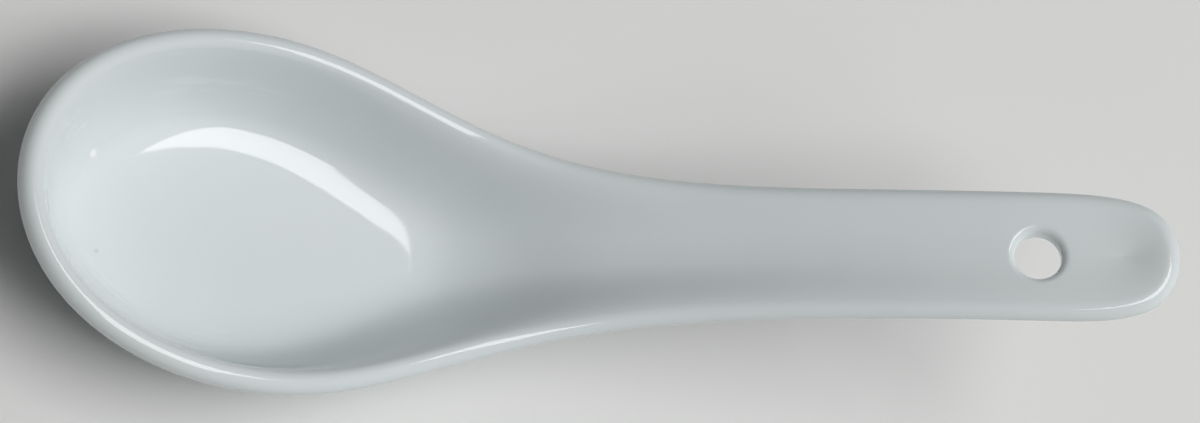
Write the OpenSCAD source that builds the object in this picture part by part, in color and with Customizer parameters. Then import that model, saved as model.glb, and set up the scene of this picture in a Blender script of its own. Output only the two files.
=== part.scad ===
// Soup spoon with a deep egg-shaped bowl, a channelled rising handle and a hanging hole.
// One glazed piece. Its skin is laid over ribs that run from the middle line of the floor
// up the wall, round the lip and back under the wall to the middle line of the underside.
// Origin on the table below the widest place of the bowl, +X towards the handle, +Z up.

/* [Seen from above] */
// Length of the whole spoon
length = 135; // [128:1:142]
// Width of the bowl over its rim
bowl_w = 43.6; // [40:0.2:47]
// Distance from the tip to the widest place of the bowl
widest_at = 29; // [27:0.5:31]
// Length over which the bowl narrows into the handle
neck_run = 31.6; // [29:0.2:34]
// Length over which the tip rounds off
tip_round = 27; // [24:0.5:30]
// Width of the handle over its edges
handle_w = 15.8; // [14.4:0.2:17]
// Length over which the end of the handle rounds off
end_round = 21; // [17:0.5:25]

/* [Seen from the side] */
// Height of the rim at the widest place of the bowl
rim_h = 16.2; // [15.2:0.1:17.2]
// Fall of the rim from the tip towards the neck, in degrees
rim_fall = 5.7; // [4:0.1:7]
// Rise of the handle, in degrees
handle_rise = 25.1; // [23:0.1:26.5]
// Rise of the last stretch of the handle, in degrees
end_rise = 17.3; // [14:0.1:21]
// Distance from the tip to the bend between the bowl and the handle
bend_at = 62; // [60:0.5:64]
// Softness of that bend
bend_soft = 13.6; // [10:0.2:17]
// How much lower the rim runs right at the tip
tip_drop = 0.55; // [0:0.05:1.1]

/* [Floor and channel] */
// Least thickness of the bowl floor over the foot
floor_t = 3.8; // [3.4:0.1:4.2]
// Rise of the channel floor behind the bowl, in degrees
channel_rise = 27.1; // [26.5:0.1:27.9]
// Extra rise of the channel floor right behind the bowl
neck_lift = 3; // [2.2:0.1:3.8]
// Depth of the channel at the hanging hole, below the edges
channel_depth = 0.9; // [0.6:0.1:1.2]
// Thickness of the handle under the channel
handle_t = 3.1; // [2.8:0.1:3.6]
// Softness of the bend between the bowl floor and the channel
floor_soft = 4; // [3:0.5:6]

/* [Lip] */
// Thickness of the rounded lip
lip_t = 3; // [2.6:0.1:3.4]

/* [Foot] */
// How deep the flat of the foot cuts into the rounded underside
foot_cut = 1.1; // [0.9:0.05:1.4]
// Extra thickness of the heel behind the foot
heel_add = 1.4; // [1:0.1:1.8]

/* [Hanging hole] */
// Diameter of the hole
hole_d = 5.6; // [4.8:0.1:6.2]
// Distance of its middle from the end of the handle
hole_inset = 15.5; // [14:0.5:17]
// Rounding of both its mouths
hole_soft = 0.7; // [0.5:0.05:0.9]

/* [Hidden] */
stations = 84;
steps = 13;
crowd = 1.6;
lip_steps = 6;
lip_r = lip_t / 2;
hole_at = length - hole_inset;
// The handle levels off a little over its last stretch
ease_at = length - 26;
ease_soft = 17;
tip_drop_run = 12;
// The extra rise of the floor is halfway up here, and this is how softly it comes
lift_at = bend_at + 3.3;
lift_soft = 6.9;
rise = tan(channel_rise);
end_slope = tan(end_rise);
// How squarely the outline turns at the neck, the tip and the end of the handle
neck_power = 2.1;
tip_power = 5;
end_power = 6;
// Steepness of the walls: flat floor and steep wall in the bowl, an even dish in the handle
inner_n = 13.5;
outer_n = 6;
dish_n = 2.3;
dish_at = bend_at - 23.2;
dish_soft = 7;
// How much gentler the wall is at the tip, and how far its top bends back towards the lip
tip_ease = 0.4;
shoulder = 0.7;
// How far the middle line stops short of the tip and of the handle's end, and over what run
tip_reach = 0.76 * widest_at;
tip_reach_run = 0.9 * widest_at;
end_reach = 0.44 * handle_w;
end_reach_run = 0.57 * handle_w;

// Soft ramp that is level before zero and rises one in one after it, and the way along it
// that reaches a height
function ramp(d, soft) = (d + sqrt(d * d + soft * soft)) / 2;
function ramp_way(h, soft) = h - soft * soft / (4 * h);
// Soft step from zero to one, which is also the slope of the ramp, and the step's own slope
function soft_step(d, soft) = (1 + d / sqrt(d * d + soft * soft)) / 2;
function step_slope(d, soft) = soft * soft / (2 * pow(d * d + soft * soft, 1.5));
function bell(d, run) = exp(-pow(d / run, 2));
function part01(v) = min(max(v, 0), 1);

// Half the width over the rim, with x counted from the tip
function half_w(x) =
    (handle_w / 2 + (bowl_w - handle_w) / 2 * exp(-pow(abs((x - widest_at) / neck_run), neck_power)))
    * sqrt(1 - pow(part01(1 - x / tip_round), tip_power))
    * sqrt(1 - pow(part01(1 - (length - x) / end_round), end_power));

// Height of the top of the lip
function rim_curve(x) = -tan(rim_fall) * x
    + (tan(handle_rise) + tan(rim_fall)) * ramp(x - bend_at, bend_soft)
    + (end_slope - tan(handle_rise)) * ramp(x - ease_at, ease_soft)
    - tip_drop * bell(x, tip_drop_run);
function rim_z(x) = rim_h + rim_curve(x) - rim_curve(widest_at);

// Height and slope of a middle line that leaves the bowl at x = start
function line_z(x, start, soft) = rise * ramp(x - start, soft)
    + neck_lift * soft_step(x - lift_at, lift_soft)
    + (end_slope - rise) * ramp(x - ease_at, ease_soft);
function line_slope(x, start, soft) = rise * soft_step(x - start, soft)
    + neck_lift * step_slope(x - lift_at, lift_soft)
    + (end_slope - rise) * soft_step(x - ease_at, ease_soft);

// The floor line passes the hole at the channel's depth, and the underside keeps below it
hole_up = rim_z(hole_at) - channel_depth
    - neck_lift * soft_step(hole_at - lift_at, lift_soft)
    - (end_slope - rise) * ramp(hole_at - ease_at, ease_soft);
under_soft = 5;
floor_end = hole_at - ramp_way((hole_up - floor_t) / rise, floor_soft);
under_end = hole_at - ramp_way((hole_up - handle_t + foot_cut) / rise, under_soft);
heel_at = floor_end + 1;
heel_run = 11;
function floor_z(x) = floor_t + line_z(x, floor_end, floor_soft);
function floor_slope(x) = line_slope(x, floor_end, floor_soft);
function heel(x) = heel_add * bell(x - heel_at, heel_run);
function under_z(x) = line_z(x, under_end, under_soft) - foot_cut - heel(x);
function under_slope(x) = line_slope(x, under_end, under_soft)
    + heel(x) * 2 * (x - heel_at) / pow(heel_run, 2);

// Where the rib that ends at x on the rim leaves the middle line
function spine_x(x) = x + tip_reach * bell(x, tip_reach_run)
    - end_reach * bell(length - x, end_reach_run);

// Steepness of the wall along the rib that ends at x
function wall_n(x, bowl_n) = (1 - tip_ease * bell(x, widest_at / 2))
    * (dish_n + (bowl_n - dish_n) / (1 + exp((spine_x(x) - dish_at) / dish_soft)));

// Part of the wall's height that is reached at s, the part of the way up from the middle line
// to the lip, and its slope. With a shoulder the wall is steepest before it reaches the lip.
function climb(s, n, bent) = pow(s, n) * (1 + bent * (1 - pow(s, n)));
function climb_slope(s, n, bent) = n * pow(s, n - 1) * (1 + bent * (1 - 2 * pow(s, n)));

// Place of a point up the wall, from 0 at the middle line to 1 at the lip. The points crowd
// towards the lip, where the wall bends up.
function way_up(j) = 1 - pow(1 - j / steps, crowd);

function rim_x(i) = length * (1 - cos(180 * i / stations)) / 2;
rim_pts = [for (i = [0 : stations]) [rim_x(i), half_w(rim_x(i))]];

// Direction square to the rim, seen from above
function rim_out(i) = i == 0 ? [-1, 0] : i == stations ? [1, 0] :
    let (t = rim_pts[i + 1] - rim_pts[i - 1]) [-t[1], t[0]] / norm(t);

// Point of a wall line that is moved out by the lip's radius, as [distance, height, angle].
// The middle line itself moves straight up or down, so its own slope counts more up the wall.
function wall_point(q, z, wall_slope, line_slope, s, side) =
    let (slope = wall_slope + s * line_slope, m = norm([1, slope]))
    [q - side * lip_r * slope / m, z + side * lip_r / m, atan(slope)];

function inner_line(foot, lip, run, high, n) =
    let (wall = high - floor_z(lip) + lip_r)
    [for (j = [0 : steps])
        let (s = way_up(j), x = foot + s * (lip - foot))
        wall_point(s * run, floor_z(x) - lip_r + wall * climb(s, n, shoulder),
            wall * climb_slope(s, n, shoulder) / run, floor_slope(x) * (lip - foot) / run, s, 1)];

function outer_line(foot, lip, run, high, n) =
    let (wall = high - under_z(lip) - lip_r)
    [for (j = [steps : -1 : 0])
        let (s = way_up(j), x = foot + s * (lip - foot))
        wall_point(s * run, under_z(x) + lip_r + wall * climb(s, n, 0),
            wall * climb_slope(s, n, 0) / run, under_slope(x) * (lip - foot) / run, s, -1)];

function lip_line(run, high, a0, a1) = [for (j = [1 : lip_steps - 1])
    let (a = a0 + (a1 - a0) * j / lip_steps)
    [run + lip_r * cos(a), high + lip_r * sin(a)]];

function rib(i) =
    let (
        x = rim_pts[i][0],
        lip = rim_pts[i] - lip_r * rim_out(i),
        high = rim_z(x) - lip_r,
        foot = [spine_x(x), 0],
        run = norm(lip - foot),
        dir = (lip - foot) / run,
        inner = inner_line(foot[0], lip[0], run, high, wall_n(x, inner_n)),
        outer = outer_line(foot[0], lip[0], run, high, wall_n(x, outer_n)),
        over = lip_line(run, high, inner[steps][2] + 90, outer[0][2] - 90)
    )
    [for (p = concat(inner, over, outer))
        [foot[0] + dir[0] * p[0] - widest_at, dir[1] * p[0], p[1]]];

// Points of the left half, then the points of the right half that aren't on the middle plane
ribs = [for (i = [0 : stations]) rib(i)];
last = len(ribs[0]) - 1;
left_pts = [for (r = ribs) for (p = r) p];
right_pts = [for (i = [1 : stations - 1]) for (j = [1 : last - 1])
    [ribs[i][j][0], -ribs[i][j][1], ribs[i][j][2]]];
function at_left(i, j) = i * (last + 1) + j;
function at_right(i, j) = (i == 0 || i == stations || j == 0 || j == last)
    ? at_left(i, j)
    : len(left_pts) + (i - 1) * (last - 1) + j - 1;

// Two triangles of one cell of the skin. The diagonal turns from quarter to quarter of the half,
// so that no triangle lies in the middle plane.
function cell(p, q, r, t, straight) = straight ? [[p, r, q], [p, t, r]] : [[p, t, q], [t, r, q]];
function is_straight(i, j) = (i < stations / 2) == (j < last / 2);
left_faces = [for (i = [0 : stations - 1]) for (j = [0 : last - 1])
    for (f = cell(at_left(i, j), at_left(i + 1, j), at_left(i + 1, j + 1), at_left(i, j + 1),
        is_straight(i, j))) f];
right_faces = [for (i = [0 : stations - 1]) for (j = [0 : last - 1])
    for (f = cell(at_right(i, j), at_right(i, j + 1), at_right(i + 1, j + 1), at_right(i + 1, j),
        is_straight(i, j))) f];

module shell() {
    polyhedron(points = concat(left_pts, right_pts), faces = concat(left_faces, right_faces));
}

// Everything below the table, so that the flat oval of the foot is left
module below_table() {
    translate([-widest_at, -bowl_w / 2, -length])
        cube([length, bowl_w, length]);
}

// Half profile of the hole: straight wall in the middle, both mouths rounded and opened out
module hole_profile(half_t) {
    turn = 50;
    open = 1.2;
    arc = [for (a = [0 : 10 : turn])
        [hole_d / 2 + hole_soft * (1 - cos(a)), half_t - hole_soft + hole_soft * sin(a)]];
    edge = arc[len(arc) - 1];
    upper = concat(arc, [edge + open * [tan(turn), 1]]);
    polygon(concat(
        [[0, -half_t - open]],
        [for (k = [len(upper) - 1 : -1 : 0]) [upper[k][0], -upper[k][1]]],
        upper,
        [[0, half_t + open]]
    ));
}

module hanging_hole() {
    lean = atan(floor_slope(hole_at));
    mid = (floor_z(hole_at) + under_z(hole_at)) / 2;
    half_t = (floor_z(hole_at) - under_z(hole_at)) / 2 * cos(lean);
    translate([hole_at - widest_at, 0, mid])
        rotate([0, -lean, 0])
            rotate_extrude($fn = 48)
                hole_profile(half_t);
}

module spoon() {
    color("whitesmoke")
        difference() {
            shell();
            below_table();
            hanging_hole();
        }
}

spoon();
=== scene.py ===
"""A glazed porcelain soup spoon on a pale table, laid out as an add-on and run as a script.

The spoon's skin is laid over ribs. Each rib leaves the middle line of the floor, climbs the
wall, turns over the lip and comes back under the wall to the middle line of the underside.
Lengths inside the form are in millimetres, with x counted from the tip; the mesh is in metres,
at the place of the solid that it stands for.
"""
import math

import bpy
import numpy as np
from mathutils import Matrix, Vector


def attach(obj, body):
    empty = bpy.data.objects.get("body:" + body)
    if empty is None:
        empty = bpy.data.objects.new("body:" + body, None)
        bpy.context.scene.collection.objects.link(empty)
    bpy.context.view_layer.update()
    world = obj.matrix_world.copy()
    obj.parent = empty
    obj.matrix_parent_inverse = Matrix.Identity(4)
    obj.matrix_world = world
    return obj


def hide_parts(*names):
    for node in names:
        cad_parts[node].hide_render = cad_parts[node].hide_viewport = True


bl_info = {
    "name": "Soup spoon",
    "version": (1, 0, 0),
    "blender": (4, 5, 0),
    "location": "View3D > Sidebar > Spoon",
    "description": "Builds a glazed porcelain soup spoon, its table, lamps and camera",
    "category": "Add Mesh",
}

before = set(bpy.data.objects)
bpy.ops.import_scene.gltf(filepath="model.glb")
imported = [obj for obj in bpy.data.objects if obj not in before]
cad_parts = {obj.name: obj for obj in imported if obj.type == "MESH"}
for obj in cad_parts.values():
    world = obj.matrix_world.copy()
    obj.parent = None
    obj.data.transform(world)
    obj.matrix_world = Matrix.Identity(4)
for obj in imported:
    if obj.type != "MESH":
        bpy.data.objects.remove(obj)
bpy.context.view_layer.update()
NODE = "spoon"
MM = 0.001


# Settings


def size_prop(name, description, default_mm, least, most):
    """A length, given here in millimetres and kept in metres."""
    return bpy.props.FloatProperty(
        name=name, description=description, default=default_mm * MM,
        min=least * MM, max=most * MM, subtype="DISTANCE", unit="LENGTH", precision=5,
    )


def angle_prop(name, description, default_deg, least, most):
    """An angle, given here in degrees and kept in radians."""
    return bpy.props.FloatProperty(
        name=name, description=description, default=math.radians(default_deg),
        min=math.radians(least), max=math.radians(most), subtype="ANGLE", unit="ROTATION",
    )


def plain_prop(name, description, default, least, most):
    """A plain number without a unit."""
    return bpy.props.FloatProperty(
        name=name, description=description, default=default, min=least, max=most,
        subtype="FACTOR" if most <= 1 else "NONE",
    )


def power_prop(name, description, default):
    """Power of a lamp in watts."""
    return bpy.props.FloatProperty(
        name=name, description=description, default=default, min=0.0, max=200.0,
        subtype="POWER", unit="POWER",
    )


def colour_prop(name, description, default):
    """A linear colour."""
    return bpy.props.FloatVectorProperty(
        name=name, description=description, default=default, size=3,
        min=0.0, max=1.0, subtype="COLOR",
    )


class SpoonSizes(bpy.types.PropertyGroup):
    """Sizes of the spoon. They are those of the solid that it stands for."""

    length: size_prop("Length", "Length of the whole spoon", 135, 128, 142)
    bowl_w: size_prop("Bowl width", "Width of the bowl over its rim", 43.6, 40, 47)
    widest_at: size_prop("Widest at", "From the tip to the widest place", 29, 27, 31)
    neck_run: size_prop("Neck run", "Length over which the bowl narrows", 31.6, 29, 34)
    tip_round: size_prop("Tip round", "Length over which the tip rounds off", 27, 24, 30)
    handle_w: size_prop("Handle width", "Width of the handle", 15.8, 14.4, 17)
    end_round: size_prop("End round", "Length over which the end rounds off", 21, 17, 25)
    rim_h: size_prop("Rim height", "Height of the rim at the widest place", 16.2, 15.2, 17.2)
    rim_fall: angle_prop("Rim fall", "Fall of the rim towards the neck", 5.7, 4, 7)
    handle_rise: angle_prop("Handle rise", "Rise of the handle", 25.1, 23, 26.5)
    end_rise: angle_prop("End rise", "Rise of the handle's last stretch", 17.3, 14, 21)
    bend_at: size_prop("Bend at", "From the tip to the bend of the neck", 62, 60, 64)
    bend_soft: size_prop("Bend softness", "Softness of that bend", 13.6, 10, 17)
    tip_drop: size_prop("Tip drop", "How much lower the rim is at the tip", 0.55, 0, 1.1)
    floor_t: size_prop("Floor", "Least thickness of the bowl floor", 3.8, 3.4, 4.2)
    channel_rise: angle_prop("Channel rise", "Rise of the channel floor", 27.1, 26.5, 27.9)
    neck_lift: size_prop("Neck lift", "Extra rise of the floor behind the bowl", 3, 2.2, 3.8)
    channel_depth: size_prop("Channel depth", "Depth of the channel at the hole", 0.9, 0.6, 1.2)
    handle_t: size_prop("Handle thickness", "Thickness under the channel", 3.1, 2.8, 3.6)
    floor_soft: size_prop("Floor softness", "Softness of the bend of the floor", 4, 3, 6)
    lip_t: size_prop("Lip", "Thickness of the rounded lip", 3, 2.6, 3.4)
    foot_cut: size_prop("Foot cut", "How deep the flat foot cuts in", 1.1, 0.9, 1.4)
    heel_add: size_prop("Heel", "Extra thickness behind the foot", 1.4, 1, 1.8)
    hole_d: size_prop("Hole", "Diameter of the hanging hole", 5.6, 4.8, 6.2)
    hole_inset: size_prop("Hole inset", "From the hole to the handle's end", 15.5, 14, 17)
    mouth_r: size_prop("Hole mouth", "Rounding of the hole's mouths", 0.95, 0.5, 1.2)
    foot_soft: size_prop("Foot edge", "Softness of the edge of the foot", 0.18, 0.05, 0.4)


class GlazeLook(bpy.types.PropertyGroup):
    """Colours and finish of the glazed porcelain."""

    body: colour_prop("Glaze", "Colour of the glaze over white body", (0.76, 0.81, 0.82))
    thick: colour_prop("Thick glaze", "Colour where the glaze lies thick", (0.73, 0.79, 0.8))
    bare: colour_prop("Bare foot", "Colour of the unglazed foot", (0.74, 0.72, 0.67))
    # A near-white colour: it paints glints on one spot and on the small lumps, and makes the streaks
    # paler
    glint: colour_prop("Glint", "Colour of the light fleck and streaks in the glaze", (0.93, 0.95, 0.95))
    dot: colour_prop("Dot", "Colour of the small dark dot in the glaze", (0.3, 0.33, 0.34))
    gloss: plain_prop("Roughness", "Roughness of the glaze", 0.06, 0.0, 1.0)


class StageLook(bpy.types.PropertyGroup):
    """Table, lamps and camera."""

    table: colour_prop("Table", "Colour of the table", (0.8, 0.8, 0.79))
    softbox: power_prop("Softbox", "The large lamp overhead, which the glaze mirrors", 28.0)
    corner: power_prop("Corner lamp", "The lamp over the near corner of the table", 8.8)
    end: power_prop("End lamp", "The lamp past the end of the handle", 8.0)
    fill: plain_prop("Fill", "Strength of the even light round the table", 0.05, 0.0, 5.0)
    backdrop: plain_prop("Backdrop", "Brightness of the pale surroundings, 1 being white", 0.4, 0.0, 1.0)
    focal: plain_prop("Lens", "Focal length in millimetres on a 36 mm sensor", 165.5, 10.0, 400.0)


# The form


def ramp(d, soft):
    """Level before zero, rising one in one after it: half of d plus the root of d2 + soft2."""
    return (d + np.sqrt(d * d + soft * soft)) / 2


def soft_step(d, soft):
    """Zero before zero, one after it: half of 1 + d over the root of d2 + soft2, the ramp's slope."""
    return (1 + d / np.sqrt(d * d + soft * soft)) / 2


def step_slope(d, soft):
    """Slope of the soft step: half of soft2 over the root of d2 + soft2 to the third power."""
    return soft * soft / (2 * (d * d + soft * soft) ** 1.5)


def bell(d, run):
    """e to the minus (d / run) squared."""
    return np.exp(-((d / run) ** 2))


class SpoonForm:
    """The curves and the skin of the spoon, in millimetres, with x counted from the tip."""

    NECK_POWER, TIP_POWER, END_POWER = 2.1, 5, 6
    INNER_N, OUTER_N, DISH_N, DISH_SOFT = 13.5, 6.0, 2.3, 7.0
    TIP_EASE, SHOULDER = 0.4, 0.7
    TIP_DROP_RUN, EASE_SOFT, UNDER_SOFT, HEEL_RUN, LIFT_SOFT = 12.0, 17.0, 5.0, 11.0, 6.9
    EASE_RUN, DISH_BEFORE_BEND, LIFT_AFTER_BEND, HEEL_AFTER_FLOOR = 26, 23.2, 3.3, 1
    TIP_REACH, TIP_SPREAD, END_REACH, END_SPREAD = 0.76, 0.9, 0.44, 0.57

    def __init__(self, p):
        """Reads the sizes, and places the floor line and the underside line at the hole."""
        for key in SpoonSizes.__annotations__:
            value = getattr(p, key)
            angle = key in ("rim_fall", "handle_rise", "end_rise", "channel_rise")
            setattr(self, key, math.tan(value) if angle else value / MM)
        self.lip_r = self.lip_t / 2
        self.hole_at = self.length - self.hole_inset
        self.ease_at = self.length - self.EASE_RUN
        self.dish_at = self.bend_at - self.DISH_BEFORE_BEND
        self.lift_at = self.bend_at + self.LIFT_AFTER_BEND
        hole_up = (
            self.rim_z(self.hole_at) - self.channel_depth
            - self.neck_lift * soft_step(self.hole_at - self.lift_at, self.LIFT_SOFT)
            - (self.end_rise - self.channel_rise) * ramp(self.hole_at - self.ease_at, self.EASE_SOFT)
        )

        def start(height, soft):
            """Where a middle line leaves the bowl, so that it reaches the height at the hole."""
            h = height / self.channel_rise
            return self.hole_at - (h - soft * soft / (4 * h))

        self.floor_end = start(hole_up - self.floor_t, self.floor_soft)
        self.under_end = start(hole_up - self.handle_t + self.foot_cut, self.UNDER_SOFT)
        self.heel_at = self.floor_end + self.HEEL_AFTER_FLOOR

    def half_w(self, x):
        """Half width: handle plus a bell for the bowl, times a power curve at both ends."""
        tip = np.clip(1 - x / self.tip_round, 0, 1)
        end = np.clip(1 - (self.length - x) / self.end_round, 0, 1)
        swell = np.exp(-np.abs((x - self.widest_at) / self.neck_run) ** self.NECK_POWER)
        return (
            (self.handle_w / 2 + (self.bowl_w - self.handle_w) / 2 * swell)
            * np.sqrt(np.maximum(1 - tip**self.TIP_POWER, 0))
            * np.sqrt(np.maximum(1 - end**self.END_POWER, 0))
        )

    def rim_z(self, x):
        """Top of the lip: a fall, a soft bend up at the neck, an ease at the end, a low tip."""

        def curve(x):
            return (
                -self.rim_fall * x
                + (self.handle_rise + self.rim_fall) * ramp(x - self.bend_at, self.bend_soft)
                + (self.end_rise - self.handle_rise) * ramp(x - self.ease_at, self.EASE_SOFT)
                - self.tip_drop * bell(x, self.TIP_DROP_RUN)
            )

        return self.rim_h + curve(x) - curve(self.widest_at)

    def line(self, x, start, soft):
        """Height and slope of a middle line.

        It is a soft ramp from start, with a soft step up at the neck, and it eases near the end.
        """
        ease = self.end_rise - self.channel_rise
        to_lift, to_ease = x - self.lift_at, x - self.ease_at
        z = (
            self.channel_rise * ramp(x - start, soft)
            + self.neck_lift * soft_step(to_lift, self.LIFT_SOFT)
            + ease * ramp(to_ease, self.EASE_SOFT)
        )
        slope = (
            self.channel_rise * soft_step(x - start, soft)
            + self.neck_lift * step_slope(to_lift, self.LIFT_SOFT)
            + ease * soft_step(to_ease, self.EASE_SOFT)
        )
        return z, slope

    def floor(self, x):
        """Height and slope of the middle line of the floor."""
        z, slope = self.line(x, self.floor_end, self.floor_soft)
        return self.floor_t + z, slope

    def under(self, x):
        """Height and slope of the middle line of the underside, with its heel."""
        z, slope = self.line(x, self.under_end, self.UNDER_SOFT)
        heel = self.heel_add * bell(x - self.heel_at, self.HEEL_RUN)
        return z - self.foot_cut - heel, slope + heel * 2 * (x - self.heel_at) / self.HEEL_RUN**2

    def spine(self, x):
        """Where the rib that ends at x on the rim leaves the middle line.

        A bell at each end draws it inwards, so that the ribs there fan out from the middle line.
        """
        tip = self.TIP_REACH * self.widest_at * bell(x, self.TIP_SPREAD * self.widest_at)
        to_end = self.length - x
        end = self.END_REACH * self.handle_w * bell(to_end, self.END_SPREAD * self.handle_w)
        return x + tip - end

    def rib(self, turn):
        """Foot, lip, direction and height of the ribs at the turns 0 (tip) to pi (handle end)."""

        def rim(t):
            x = self.length * (1 - np.cos(t)) / 2
            return x, self.half_w(x) * np.sign(np.sin(t) + 1e-12)

        h = 1e-4
        x, w = rim(turn)
        (x0, w0), (x1, w1) = rim(turn - h), rim(turn + h)
        m = np.hypot(x1 - x0, w1 - w0)
        lip_x = x + self.lip_r * (w1 - w0) / m
        lip_y = w - self.lip_r * (x1 - x0) / m
        foot = self.spine(x)
        run = np.hypot(lip_x - foot, lip_y)
        return x, foot, lip_x, lip_y, run, self.rim_z(x) - self.lip_r

    def wall_n(self, x, bowl_n):
        """Power of the wall: steep in the bowl, an even dish in the handle."""
        mix = 1 / (1 + np.exp((self.spine(x) - self.dish_at) / self.DISH_SOFT))
        ease = 1 - self.TIP_EASE * bell(x, self.widest_at / 2)
        return ease * (self.DISH_N + (bowl_n - self.DISH_N) * mix)

    def wall(self, turn, s, side):
        """Points of the inner (side 1) or outer (side -1) wall and their angle in the rib.

        Height = middle line + wall * u * (1 + bent * (1 - u)), where u is s to the power n and s
        runs from the middle line to the lip; the point then moves out by the lip's radius at
        right angles to that curve. Only the inner wall is bent into a shoulder at its top.
        """
        x, foot, lip_x, lip_y, run, high = self.rib(turn)
        middle = self.floor if side > 0 else self.under
        n = self.wall_n(x, self.INNER_N if side > 0 else self.OUTER_N)
        way = np.abs(s)
        line_z, line_slope = middle(foot + way * (lip_x - foot))
        rise = high - middle(lip_x)[0] + side * self.lip_r
        bent = self.SHOULDER if side > 0 else 0.0
        u = way**n
        z = line_z - side * self.lip_r + rise * u * (1 + bent * (1 - u))
        climb = n * way ** (n - 1) * (1 + bent * (1 - 2 * u))
        slope = way * line_slope * (lip_x - foot) / run + rise * climb / run
        m = np.hypot(1, slope)
        q = way * run - side * self.lip_r * slope / m
        return self.place(foot, lip_x, lip_y, run, q, z + side * self.lip_r / m), np.arctan(slope)

    def lip(self, turn, part, a0, a1):
        """Points of the lip: a round of the lip's radius from the angle a0 to a1."""
        x, foot, lip_x, lip_y, run, high = self.rib(turn)
        a = a0 + (a1 - a0) * part
        q = run + self.lip_r * np.cos(a)
        return self.place(foot, lip_x, lip_y, run, q, high + self.lip_r * np.sin(a))

    def place(self, foot, lip_x, lip_y, run, q, z):
        """A distance along the rib and a height, as a point."""
        return np.stack(
            np.broadcast_arrays(foot + (lip_x - foot) * q / run, lip_y * q / run, z), -1
        )


# Steps of the grid: ribs, points up a wall, points round the lip, and rings round the hole
RIBS, WALL_STEPS, LIP_STEPS = 300, 46, 14
BLEND_RINGS, MOUTH_STEPS, BORE_RINGS = 7, 10, 4
NEWTON_STEPS = 12
# Room in millimetres between the hole's mouth and the window that it takes in the grid
WINDOW_MARGIN_X, WINDOW_MARGIN_Y = 1.4, 0.7


def rim_table(form):
    """Turns from tip to end in small steps, and the rim's length from the tip up to each."""
    t = np.linspace(0, np.pi, 4001)
    x = form.length * (1 - np.cos(t)) / 2
    return t, np.concatenate([[0], np.cumsum(np.hypot(np.diff(x), np.diff(form.half_w(x))))])


def rim_length(form, turn):
    """Length of the rim from the tip up to the turns."""
    return np.interp(turn, *rim_table(form))


def even_turns(form, ribs):
    """Turns of the ribs, spaced evenly along the rim."""
    t, total = rim_table(form)
    return np.interp(np.linspace(0, total[-1], ribs + 1), total, t)


def skin(form):
    """Turns of the ribs, ways up the wall, and the grid of the skin: ribs by points once round.

    Each rib's points run over the inner wall, the lip and the outer wall of the left half, and
    back over the right half, which is the left one mirrored.
    """
    turn = even_turns(form, RIBS)[:, None]
    s = np.linspace(0, 1, WALL_STEPS + 1)[None, :]
    inner, up = form.wall(turn, s, 1)
    outer, down = form.wall(turn, s, -1)
    part = np.linspace(0, 1, LIP_STEPS + 1)[None, 1:-1]
    lip = form.lip(turn, part, up[:, -1:] + np.pi / 2, down[:, -1:] - np.pi / 2)
    half = np.concatenate([inner, lip, outer[:, ::-1]], 1)
    half[:, 0, 1] = half[:, -1, 1] = 0
    half[0, :, 1] = half[-1, :, 1] = 0
    right = half[:, -2:0:-1] * [1, -1, 1]
    return turn[:, 0], s[0], np.concatenate([half, right], 1)


class HoleAxis:
    """The hanging hole's middle and directions: its axis is square to the channel's floor."""

    def __init__(self, form):
        lean = math.atan(form.floor(form.hole_at)[1])
        middle = (form.floor(form.hole_at)[0] + form.under(form.hole_at)[0]) / 2
        self.up = np.array([-math.sin(lean), 0, math.cos(lean)])
        self.across = np.array([math.cos(lean), 0, math.sin(lean)])
        self.at = np.array([form.hole_at, 0, middle])


def skin_at(form, side, a, b, axis):
    """Points of a wall whose plan round the hole's axis is (a, b), found by Newton's steps."""
    turn = np.full_like(a, math.acos(1 - 2 * form.hole_at / form.length))
    s = np.abs(b) / (form.handle_w / 2 - form.lip_r)

    def miss(turn, s):
        p = form.wall(turn, s, side)[0] - axis.at
        return p @ axis.across - a, p[..., 1] - np.abs(b)

    h = 1e-5
    for _ in range(NEWTON_STEPS):
        f0, g0 = miss(turn, s)
        f1, g1 = miss(turn + h, s)
        f2, g2 = miss(turn, s + h)
        fa, ga, fb, gb = (f1 - f0) / h, (g1 - g0) / h, (f2 - f0) / h, (g2 - g0) / h
        det = fa * gb - fb * ga
        turn = turn - (f0 * gb - fb * g0) / det
        s = np.abs(s - (fa * g0 - f0 * ga) / det)
    p = form.wall(turn, s, side)[0]
    p[..., 1] *= np.where(b < 0, -1, 1)
    return p


def ring_faces(rings):
    """Quads between closed rings of vertex numbers, one row each."""
    a, b = rings[:-1], rings[1:]
    a1, b1 = np.roll(a, -1, 1), np.roll(b, -1, 1)
    return np.stack([a, a1, b1, b], -1).reshape(-1, 4)


def window_ring(number, first, last, side_steps, mid):
    """Vertex numbers round the window in the grid, as one closed ring about the column mid."""
    over = np.arange(-side_steps, side_steps + 1) + mid
    along = np.arange(first, last + 1)
    walk = [(i, over[-1]) for i in along[:-1]] + [(last, j) for j in over[:0:-1]]
    walk += [(i, over[0]) for i in along[:0:-1]] + [(first, j) for j in over[:-1]]
    walk = np.array(walk)
    return number[walk[:, 0], walk[:, 1] % number.shape[1]]


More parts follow.
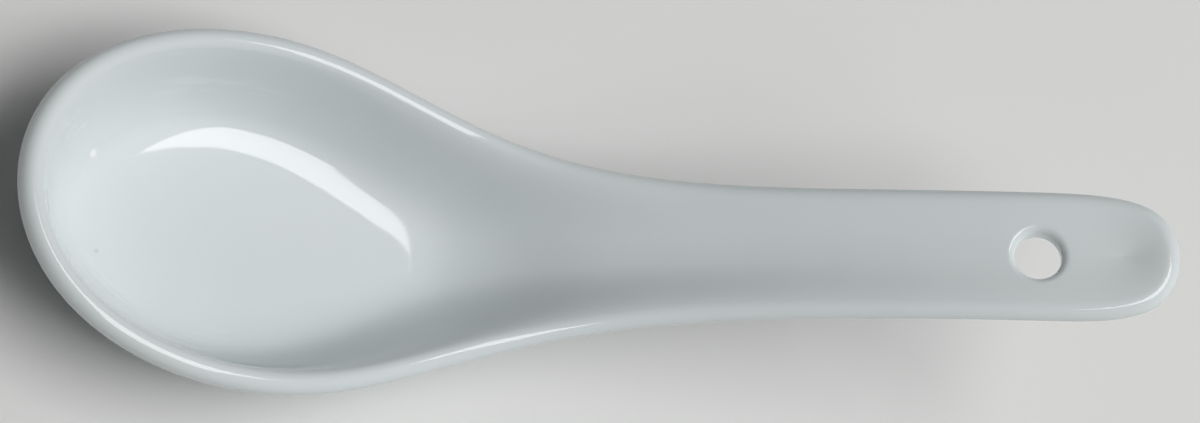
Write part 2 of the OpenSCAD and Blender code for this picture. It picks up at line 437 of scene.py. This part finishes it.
def mouth_rings(form, axis, side, edge):
    """Rings from the window's edge to the hole's wall on one side of the handle.

    The first rings lie on the skin and blend from the window to a circle. The others lie under
    it by a quarter round: in by r * sin and down by r * (1 - cos) of an angle up to square.
    """
    soft = form.mouth_r
    mouth_r = form.hole_d / 2 + soft
    rel = edge - axis.at
    a0, b0 = rel @ axis.across, rel[:, 1]
    way = np.arctan2(b0, a0)
    mix = np.linspace(0, 1, BLEND_RINGS + 2)[1:-1, None]
    turn = np.linspace(0, np.pi / 2, MOUTH_STEPS + 1)
    rho = form.hole_d / 2 + soft * (1 - np.sin(turn))[:, None]
    a = np.vstack([(1 - mix) * a0 + mix * mouth_r * np.cos(way), rho * np.cos(way)])
    b = np.vstack([(1 - mix) * b0 + mix * mouth_r * np.sin(way), rho * np.sin(way)])
    drop = np.concatenate([np.zeros(len(mix)), soft * (1 - np.cos(turn))])
    return skin_at(form, side, a, b, axis) - side * drop[:, None, None] * axis.up


def bore_rings(form, axis, top, low):
    """Rings of the hole's straight wall between its two mouths, at the hole's radius."""
    part = np.linspace(0, 1, BORE_RINGS + 2)[1:-1, None, None]
    wall = (1 - part) * top + part * low
    off = wall - axis.at
    off = off - (off @ axis.up)[..., None] * axis.up
    return wall + off * (form.hole_d / 2 / np.linalg.norm(off, axis=-1, keepdims=True) - 1)


def build_spoon(p):
    """The spoon's skin, opened and lined at the hole: points in metres, quads, wall places.

    A point's wall place is its length along the rim in metres and its way up the inner wall,
    from 0 at the middle line to 1 at the lip. The way stays 1 over the lip and the outer wall,
    and both are zero round the hole.
    """
    form = SpoonForm(p)
    axis = HoleAxis(form)
    turn, s, grid = skin(form)
    rows, cols = grid.shape[:2]
    number = np.arange(rows * cols).reshape(rows, cols)
    for row in (0, rows - 1):
        number[row, cols // 2 + 1:] = number[row, cols // 2 - 1:0:-1]

    mouth_r = form.hole_d / 2 + form.mouth_r
    near = np.abs(grid[:, 0, 0] - form.hole_at) < mouth_r + WINDOW_MARGIN_X
    first, last = np.flatnonzero(near)[[0, -1]]
    half_channel = form.handle_w / 2 - form.lip_r
    side_steps = int(np.searchsorted(s * half_channel, mouth_r + WINDOW_MARGIN_Y))

    parts, faces, count = [grid.reshape(-1, 3)], [], rows * cols
    ends = []
    for side, mid in ((1, 0), (-1, cols // 2)):
        edge = window_ring(number, first, last, side_steps, mid)[::side]
        rings = mouth_rings(form, axis, side, parts[0][edge])
        ids = count + np.arange(rings[..., 0].size).reshape(rings.shape[:2])
        count += ids.size
        parts.append(rings.reshape(-1, 3))
        faces.append(ring_faces(np.vstack([edge, ids]))[:, ::-side])
        ends.append((ids[-1], rings[-1]))
    (top, top_ring), (low, low_ring) = ends
    start = np.argmin(np.linalg.norm((low_ring - top_ring[0]) * [1, 1, 0.2], axis=1))
    low, low_ring = np.roll(low, -start), np.roll(low_ring, -start, 0)
    wall = bore_rings(form, axis, top_ring, low_ring)
    ids = count + np.arange(wall[..., 0].size).reshape(wall.shape[:2])
    parts.append(wall.reshape(-1, 3))
    faces.append(ring_faces(np.vstack([top, ids, low]))[:, ::-1])

    points = np.vstack(parts)
    points[:, 2] = ramp(points[:, 2], form.foot_soft)
    i, j = np.meshgrid(np.arange(rows - 1), np.arange(cols), indexing="ij")
    from_top = np.minimum(j + 0.5, cols - j - 0.5)
    from_low = np.abs(j + 0.5 - cols // 2)
    opened = (i >= first) & (i < last) & ((from_top < side_steps) | (from_low < side_steps))
    i, j = i[~opened], j[~opened]
    j1 = (j + 1) % cols
    quads = np.stack([number[i, j], number[i + 1, j], number[i + 1, j1], number[i, j1]], -1)
    faces = np.vstack([quads, *faces])
    used, faces = np.unique(faces, return_inverse=True)
    places = np.zeros((len(points), 3))
    half_way = np.minimum(np.arange(cols), cols - np.arange(cols))
    places[:rows * cols, 0] = np.repeat(rim_length(form, turn), cols) * MM
    places[:rows * cols, 1] = np.tile(np.interp(half_way, np.arange(len(s)), s), rows)
    return (points[used] - [form.widest_at, 0, 0]) * MM, faces.reshape(-1, 4), places[used]


# The finish


def add_node(tree, kind, **inputs):
    """A shader node with its inputs set by name."""
    node = tree.nodes.new(kind)
    for name, value in inputs.items():
        node.inputs[name.replace("_", " ")].default_value = value
    return node


def math_node(tree, operation, a, b, clamp=False):
    """A math node between sockets or numbers; returns its output."""
    node = tree.nodes.new("ShaderNodeMath")
    node.operation, node.use_clamp = operation, clamp
    for socket, value in zip(node.inputs, (a, b)):
        if isinstance(value, (int, float)):
            socket.default_value = value
        else:
            tree.links.new(value, socket)
    return node.outputs[0]


def ease_node(tree, value, low, high, out_low=0.0, out_high=1.0):
    """A smooth step from low to high; returns its output."""
    node = tree.nodes.new("ShaderNodeMapRange")
    node.interpolation_type = "SMOOTHSTEP"
    tree.links.new(value, node.inputs["Value"])
    node.inputs["From Min"].default_value = low
    node.inputs["From Max"].default_value = high
    node.inputs["To Min"].default_value = out_low
    node.inputs["To Max"].default_value = out_high
    return node.outputs["Result"]


def mix_colour(tree, factor, a, b):
    """A colour mix by the socket factor, between sockets or colours; returns its output."""
    node = tree.nodes.new("ShaderNodeMix")
    node.data_type = "RGBA"
    for socket, value in zip((node.inputs[0], node.inputs[6], node.inputs[7]), (factor, a, b)):
        if hasattr(value, "links"):
            tree.links.new(value, socket)
        else:
            socket.default_value = (*value, 1.0)
    return node.outputs[2]


# Places and reaches of the marks on the inner wall, in millimetres in the spoon's frame: the lumps, a
# spot painted near white as a glint, and a dark dot
LUMPS_AT, LUMPS_REACH = (-20.5, 8.0, 10.5), (5.5, 2.4, 8.5)
GLINT_AT, GLINT_REACH = (-16.9, 7.7, 5.4), (0.75, 0.75, 0.75)
DOT_AT, DOT_REACH = (-15.6, -3.6, 3.9), (0.45, 0.45, 0.45)
# Windows of the streaks, as low, high and ease: along the rim in metres, and up the wall
NEAR_STREAKS = (0.011, 0.033, 0.006), (0.59, 0.74, 0.06)
FAR_STREAKS = (0.03, 0.042, 0.006), (0.88, 0.94, 0.03)
# Scales of the streaks' noise: along the rim per metre, and over the whole way up the wall
STREAKS_ALONG, STREAKS_UP = 60.0, 26.0
# Shares of the marks in the colour (paler streaks, painted glints on the lumps, the dark dot) and in the
# height of the glaze's bump
PALE_STREAKS, LUMP_GLINTS, DARK_DOT = 0.26, 0.45, 0.22
HIGH_STREAKS, HIGH_LUMPS, HIGH_GLINT_SPOT = 0.2, 0.9, 0.5
# Heights over the table in metres between which the bare foot gives way to the glaze
BARE_BELOW, GLAZED_ABOVE = 0.00002, 0.00008


def near_point(tree, where, at_mm, radii_mm):
    """One at a point and zero past the three radii round it; returns its output."""
    gap = tree.nodes.new("ShaderNodeVectorMath")
    gap.operation = "SUBTRACT"
    tree.links.new(where, gap.inputs[0])
    gap.inputs[1].default_value = [value * MM for value in at_mm]
    scaled = tree.nodes.new("ShaderNodeVectorMath")
    scaled.operation = "DIVIDE"
    tree.links.new(gap.outputs[0], scaled.inputs[0])
    scaled.inputs[1].default_value = [value * MM for value in radii_mm]
    length = tree.nodes.new("ShaderNodeVectorMath")
    length.operation = "LENGTH"
    tree.links.new(scaled.outputs[0], length.inputs[0])
    return ease_node(tree, length.outputs["Value"], 0.3, 1.0, 1.0, 0.0)


def window_node(tree, value, low, high, soft):
    """One between low and high, easing to zero over soft on both sides; returns its output."""
    over = ease_node(tree, value, low - soft, low)
    return math_node(tree, "MULTIPLY", over, ease_node(tree, value, high, high + soft, 1.0, 0.0))


def wall_streaks(tree, along, way, across):
    """Faint streaks that run along the wall: a drawn-out noise within two windows.

    One window is low on the near wall, by the tip, and one is high on the far wall.
    """
    drawn = tree.nodes.new("ShaderNodeCombineXYZ")
    tree.links.new(math_node(tree, "MULTIPLY", along, STREAKS_ALONG), drawn.inputs["X"])
    tree.links.new(math_node(tree, "MULTIPLY", way, STREAKS_UP), drawn.inputs["Y"])
    noise = add_node(tree, "ShaderNodeTexNoise", Scale=1.0, Detail=2.0, Roughness=0.6)
    tree.links.new(drawn.outputs[0], noise.inputs["Vector"])
    lines = ease_node(tree, noise.outputs["Fac"], 0.46, 0.64)

    def window(limits, on_side):
        """The window of a wall, where on_side is one on that wall and zero on the other."""
        over = window_node(tree, along, *limits[0])
        box = math_node(tree, "MULTIPLY", over, window_node(tree, way, *limits[1]))
        return math_node(tree, "MULTIPLY", box, on_side)

    near = window(NEAR_STREAKS, ease_node(tree, across, -0.001, 0.0, 1.0, 0.0))
    far = window(FAR_STREAKS, ease_node(tree, across, 0.0, 0.001))
    return math_node(tree, "MULTIPLY", lines, math_node(tree, "ADD", near, far))


def porcelain(look):
    """Glazed porcelain with a faint cloud, a soft ripple and a bare matt foot.

    The inner wall has marks copied from the real spoon: paler streaks, a patch of small lumps
    with painted glints, a painted glint on one spot, and a dark dot.
    """
    mat = bpy.data.materials.new("glazed porcelain")
    mat.use_nodes = True
    tree = mat.node_tree
    shader = tree.nodes["Principled BSDF"]
    shader.inputs["IOR"].default_value = 1.55
    where = tree.nodes.new("ShaderNodeTexCoord").outputs["Object"]

    def noise(scale, detail=2.0, rough=0.5):
        node = add_node(tree, "ShaderNodeTexNoise", Scale=scale, Detail=detail, Roughness=rough)
        tree.links.new(where, node.inputs["Vector"])
        return node.outputs["Fac"]

    cloud = ease_node(tree, noise(28.0, 3.0), 0.35, 0.7)
    glaze = mix_colour(tree, cloud, look.body[:], look.thick[:])
    split = tree.nodes.new("ShaderNodeSeparateXYZ")
    tree.links.new(where, split.inputs[0])
    place = tree.nodes.new("ShaderNodeAttribute")
    place.attribute_name = "wall_place"
    wall = tree.nodes.new("ShaderNodeSeparateXYZ")
    tree.links.new(place.outputs["Vector"], wall.inputs[0])
    streaks = wall_streaks(tree, wall.outputs["X"], wall.outputs["Y"], split.outputs["Y"])
    inside = ease_node(tree, wall.outputs["Y"], 0.96, 0.99, 1.0, 0.0)
    patch = near_point(tree, where, LUMPS_AT, LUMPS_REACH)
    patch = math_node(tree, "MULTIPLY", patch, inside)
    lumps = math_node(tree, "MULTIPLY", patch, ease_node(tree, noise(620.0, 3.0), 0.52, 0.68))
    # Painted glint: one spot near the tip is painted near white where a highlight shines on a small
    # bump, which the bump below also raises
    glint = near_point(tree, where, GLINT_AT, GLINT_REACH)
    dot = near_point(tree, where, DOT_AT, DOT_REACH)
    pale = math_node(tree, "ADD", math_node(tree, "MULTIPLY", streaks, PALE_STREAKS), glint)
    # The lumps are real bumps in the glaze; their near-white share is painted glint
    lump_glints = math_node(tree, "MULTIPLY", lumps, LUMP_GLINTS)
    pale = math_node(tree, "ADD", pale, lump_glints, clamp=True)
    glaze = mix_colour(tree, pale, glaze, look.glint[:])
    glaze = mix_colour(tree, math_node(tree, "MULTIPLY", dot, DARK_DOT), glaze, look.dot[:])
    bare = ease_node(tree, split.outputs["Z"], BARE_BELOW, GLAZED_ABOVE, 1.0, 0.0)
    tree.links.new(mix_colour(tree, bare, glaze, look.bare[:]), shader.inputs["Base Color"])
    wave = ease_node(tree, noise(160.0), 0.3, 0.7, look.gloss * 0.8, look.gloss * 1.3)
    rough = math_node(tree, "MAXIMUM", wave, math_node(tree, "MULTIPLY", bare, 0.75))
    tree.links.new(rough, shader.inputs["Roughness"])
    bump = add_node(tree, "ShaderNodeBump", Strength=0.12, Distance=0.0004)
    height = noise(110.0)
    for mark, share in ((streaks, HIGH_STREAKS), (lumps, HIGH_LUMPS), (glint, HIGH_GLINT_SPOT)):
        height = math_node(tree, "ADD", height, math_node(tree, "MULTIPLY", mark, share))
    tree.links.new(height, bump.inputs["Height"])
    tree.links.new(bump.outputs["Normal"], shader.inputs["Normal"])
    return mat


def plain_material(name, colour, rough):
    """A plain matt material for the table."""
    mat = bpy.data.materials.new(name)
    mat.use_nodes = True
    shader = mat.node_tree.nodes["Principled BSDF"]
    shader.inputs["Base Color"].default_value = (*colour, 1.0)
    shader.inputs["Roughness"].default_value = rough
    shader.inputs["Specular IOR Level"].default_value = 0.1
    return mat


def new_mesh_object(name, points, faces, smooth=True):
    """A mesh object at the origin from arrays of points and faces."""
    mesh = bpy.data.meshes.new(name)
    mesh.from_pydata(points.tolist(), [], faces.tolist())
    mesh.update()
    mesh.polygons.foreach_set("use_smooth", [smooth] * len(mesh.polygons))
    thing = bpy.data.objects.new(name, mesh)
    bpy.context.scene.collection.objects.link(thing)
    return thing


# Operators and panel


class SPOON_OT_add_spoon(bpy.types.Operator):
    """Builds the spoon's skin with its hanging hole and gives it the glaze"""

    bl_idname = "spoon.add_spoon"
    bl_label = "Add Spoon"
    bl_options = {"REGISTER", "UNDO"}

    def execute(self, context):
        points, faces, places = build_spoon(context.scene.spoon_sizes)
        spoon = new_mesh_object("spoon_body", points, faces)
        layer = spoon.data.attributes.new("wall_place", "FLOAT_VECTOR", "POINT")
        layer.data.foreach_set("vector", places.ravel())
        spoon.data.materials.append(porcelain(context.scene.spoon_glaze))
        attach(spoon, "root")
        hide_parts(NODE)
        return {"FINISHED"}


class SPOON_OT_add_stage(bpy.types.Operator):
    """Adds the pale table, the softbox, two side lamps, the even fill and the camera"""

    bl_idname = "spoon.add_stage"
    bl_label = "Add Stage"
    bl_options = {"REGISTER", "UNDO"}

    CAMERA_AT = (-0.1890, -0.2032, 0.5887)
    CAMERA_BACK = (-math.tan(math.radians(22)), -math.tan(math.radians(20)), 1.0)
    CAMERA_ROLL = math.radians(7.826)
    SOFTBOX_AT, SOFTBOX_SIZE = (0.574, -0.32, 2.0), (1.217, 1.516)
    SOFTBOX_TURN = (0.169, -0.532, -0.385)
    CORNER_LAMP_AT, END_LAMP_AT = (0.84, -0.81, 1.65), (1.56, 0.0, 1.29)
    SIDE_LAMP_SIZE = (1.0, 1.0)
    LAMPS_AIM = (0.03, 0.0, 0.01)
    TABLE_HALF = 1.5

    def execute(self, context):
        look = context.scene.spoon_stage
        half = self.TABLE_HALF
        corners = np.array([(-half, -half, 0), (half, -half, 0), (half, half, 0), (-half, half, 0)])
        table = new_mesh_object("table", corners, np.array([[0, 1, 2, 3]]), smooth=False)
        table.data.materials.append(plain_material("table", look.table[:], 0.6))
        self.add_lamp(
            "softbox", look.softbox, self.SOFTBOX_AT, self.SOFTBOX_SIZE, self.SOFTBOX_TURN
        )
        self.add_lamp("corner_lamp", look.corner, self.CORNER_LAMP_AT, self.SIDE_LAMP_SIZE)
        self.add_lamp("end_lamp", look.end, self.END_LAMP_AT, self.SIDE_LAMP_SIZE)
        self.add_world(context, look)
        self.add_camera(context, look)
        context.scene.view_settings.view_transform = "Standard"
        return {"FINISHED"}

    def add_lamp(self, name, power, at, size, turn=None):
        """A rectangular lamp with a turn of its own, or a side lamp that aims at the spoon.

        The side lamps brighten the glaze but make no highlight on it.
        """
        data = bpy.data.lights.new(name, "AREA")
        data.shape, data.energy = "RECTANGLE", power
        data.size, data.size_y = size
        lamp = bpy.data.objects.new(name, data)
        lamp.location = at
        aim = Vector(self.LAMPS_AIM) - Vector(at)
        lamp.rotation_euler = turn or aim.to_track_quat("-Z", "Y").to_euler()
        lamp.visible_glossy = turn is not None
        bpy.context.scene.collection.objects.link(lamp)

    def add_world(self, context, look):
        """Even light of the fill's strength, in front of a pale backdrop that the glaze mirrors."""
        world = bpy.data.worlds.new("studio")
        world.use_nodes = True
        tree = world.node_tree
        path = tree.nodes.new("ShaderNodeLightPath").outputs
        seen = math_node(tree, "MAXIMUM", path["Is Camera Ray"], path["Is Glossy Ray"])
        seen = math_node(tree, "MAXIMUM", seen, path["Is Transmission Ray"])
        share = math_node(tree, "MULTIPLY", seen, look.backdrop - look.fill)
        backdrop = tree.nodes["Background"]
        backdrop.inputs["Color"].default_value = (1, 1, 1, 1)
        tree.links.new(math_node(tree, "ADD", share, look.fill), backdrop.inputs["Strength"])
        context.scene.world = world

    def add_camera(self, context, look):
        """The camera: its back direction, rolled about itself, at a place found by fitting."""
        back = Vector(self.CAMERA_BACK).normalized()
        right = (Vector((1, 0, 0)) - back * back.x).normalized()
        up = back.cross(right)
        c, s = math.cos(self.CAMERA_ROLL), math.sin(self.CAMERA_ROLL)
        right, up = right * c + up * s, up * c - right * s
        data = bpy.data.cameras.new("camera")
        data.sensor_fit, data.sensor_width, data.lens = "HORIZONTAL", 36.0, look.focal
        data.clip_start, data.clip_end = 0.01, 10.0
        camera = bpy.data.objects.new("camera", data)
        bpy.context.scene.collection.objects.link(camera)
        turn = Matrix((right, up, back)).transposed().to_4x4()
        camera.matrix_world = Matrix.Translation(self.CAMERA_AT) @ turn
        context.scene.camera = camera


class SPOON_PT_panel(bpy.types.Panel):
    """Lists the sizes, the finish and the operators"""

    bl_idname = "SPOON_PT_panel"
    bl_label = "Soup Spoon"
    bl_space_type = "VIEW_3D"
    bl_region_type = "UI"
    bl_category = "Spoon"

    def draw(self, context):
        for group in (context.scene.spoon_sizes, context.scene.spoon_glaze, context.scene.spoon_stage):
            box = self.layout.box()
            for key in type(group).__annotations__:
                box.prop(group, key)
        self.layout.operator(SPOON_OT_add_spoon.bl_idname)
        self.layout.operator(SPOON_OT_add_stage.bl_idname)


CLASSES = (SpoonSizes, GlazeLook, StageLook, SPOON_OT_add_spoon, SPOON_OT_add_stage, SPOON_PT_panel)


def register():
    """Registers the classes and hangs the settings on the scene."""
    for cls in CLASSES:
        bpy.utils.register_class(cls)
    bpy.types.Scene.spoon_sizes = bpy.props.PointerProperty(type=SpoonSizes)
    bpy.types.Scene.spoon_glaze = bpy.props.PointerProperty(type=GlazeLook)
    bpy.types.Scene.spoon_stage = bpy.props.PointerProperty(type=StageLook)


def unregister():
    """Takes the settings off the scene and unregisters the classes."""
    del bpy.types.Scene.spoon_stage
    del bpy.types.Scene.spoon_glaze
    del bpy.types.Scene.spoon_sizes
    for cls in reversed(CLASSES):
        bpy.utils.unregister_class(cls)


def main():
    """Builds everything in order."""
    register()
    bpy.ops.spoon.add_spoon()
    bpy.ops.spoon.add_stage()


if __name__ == "__main__":
    main()
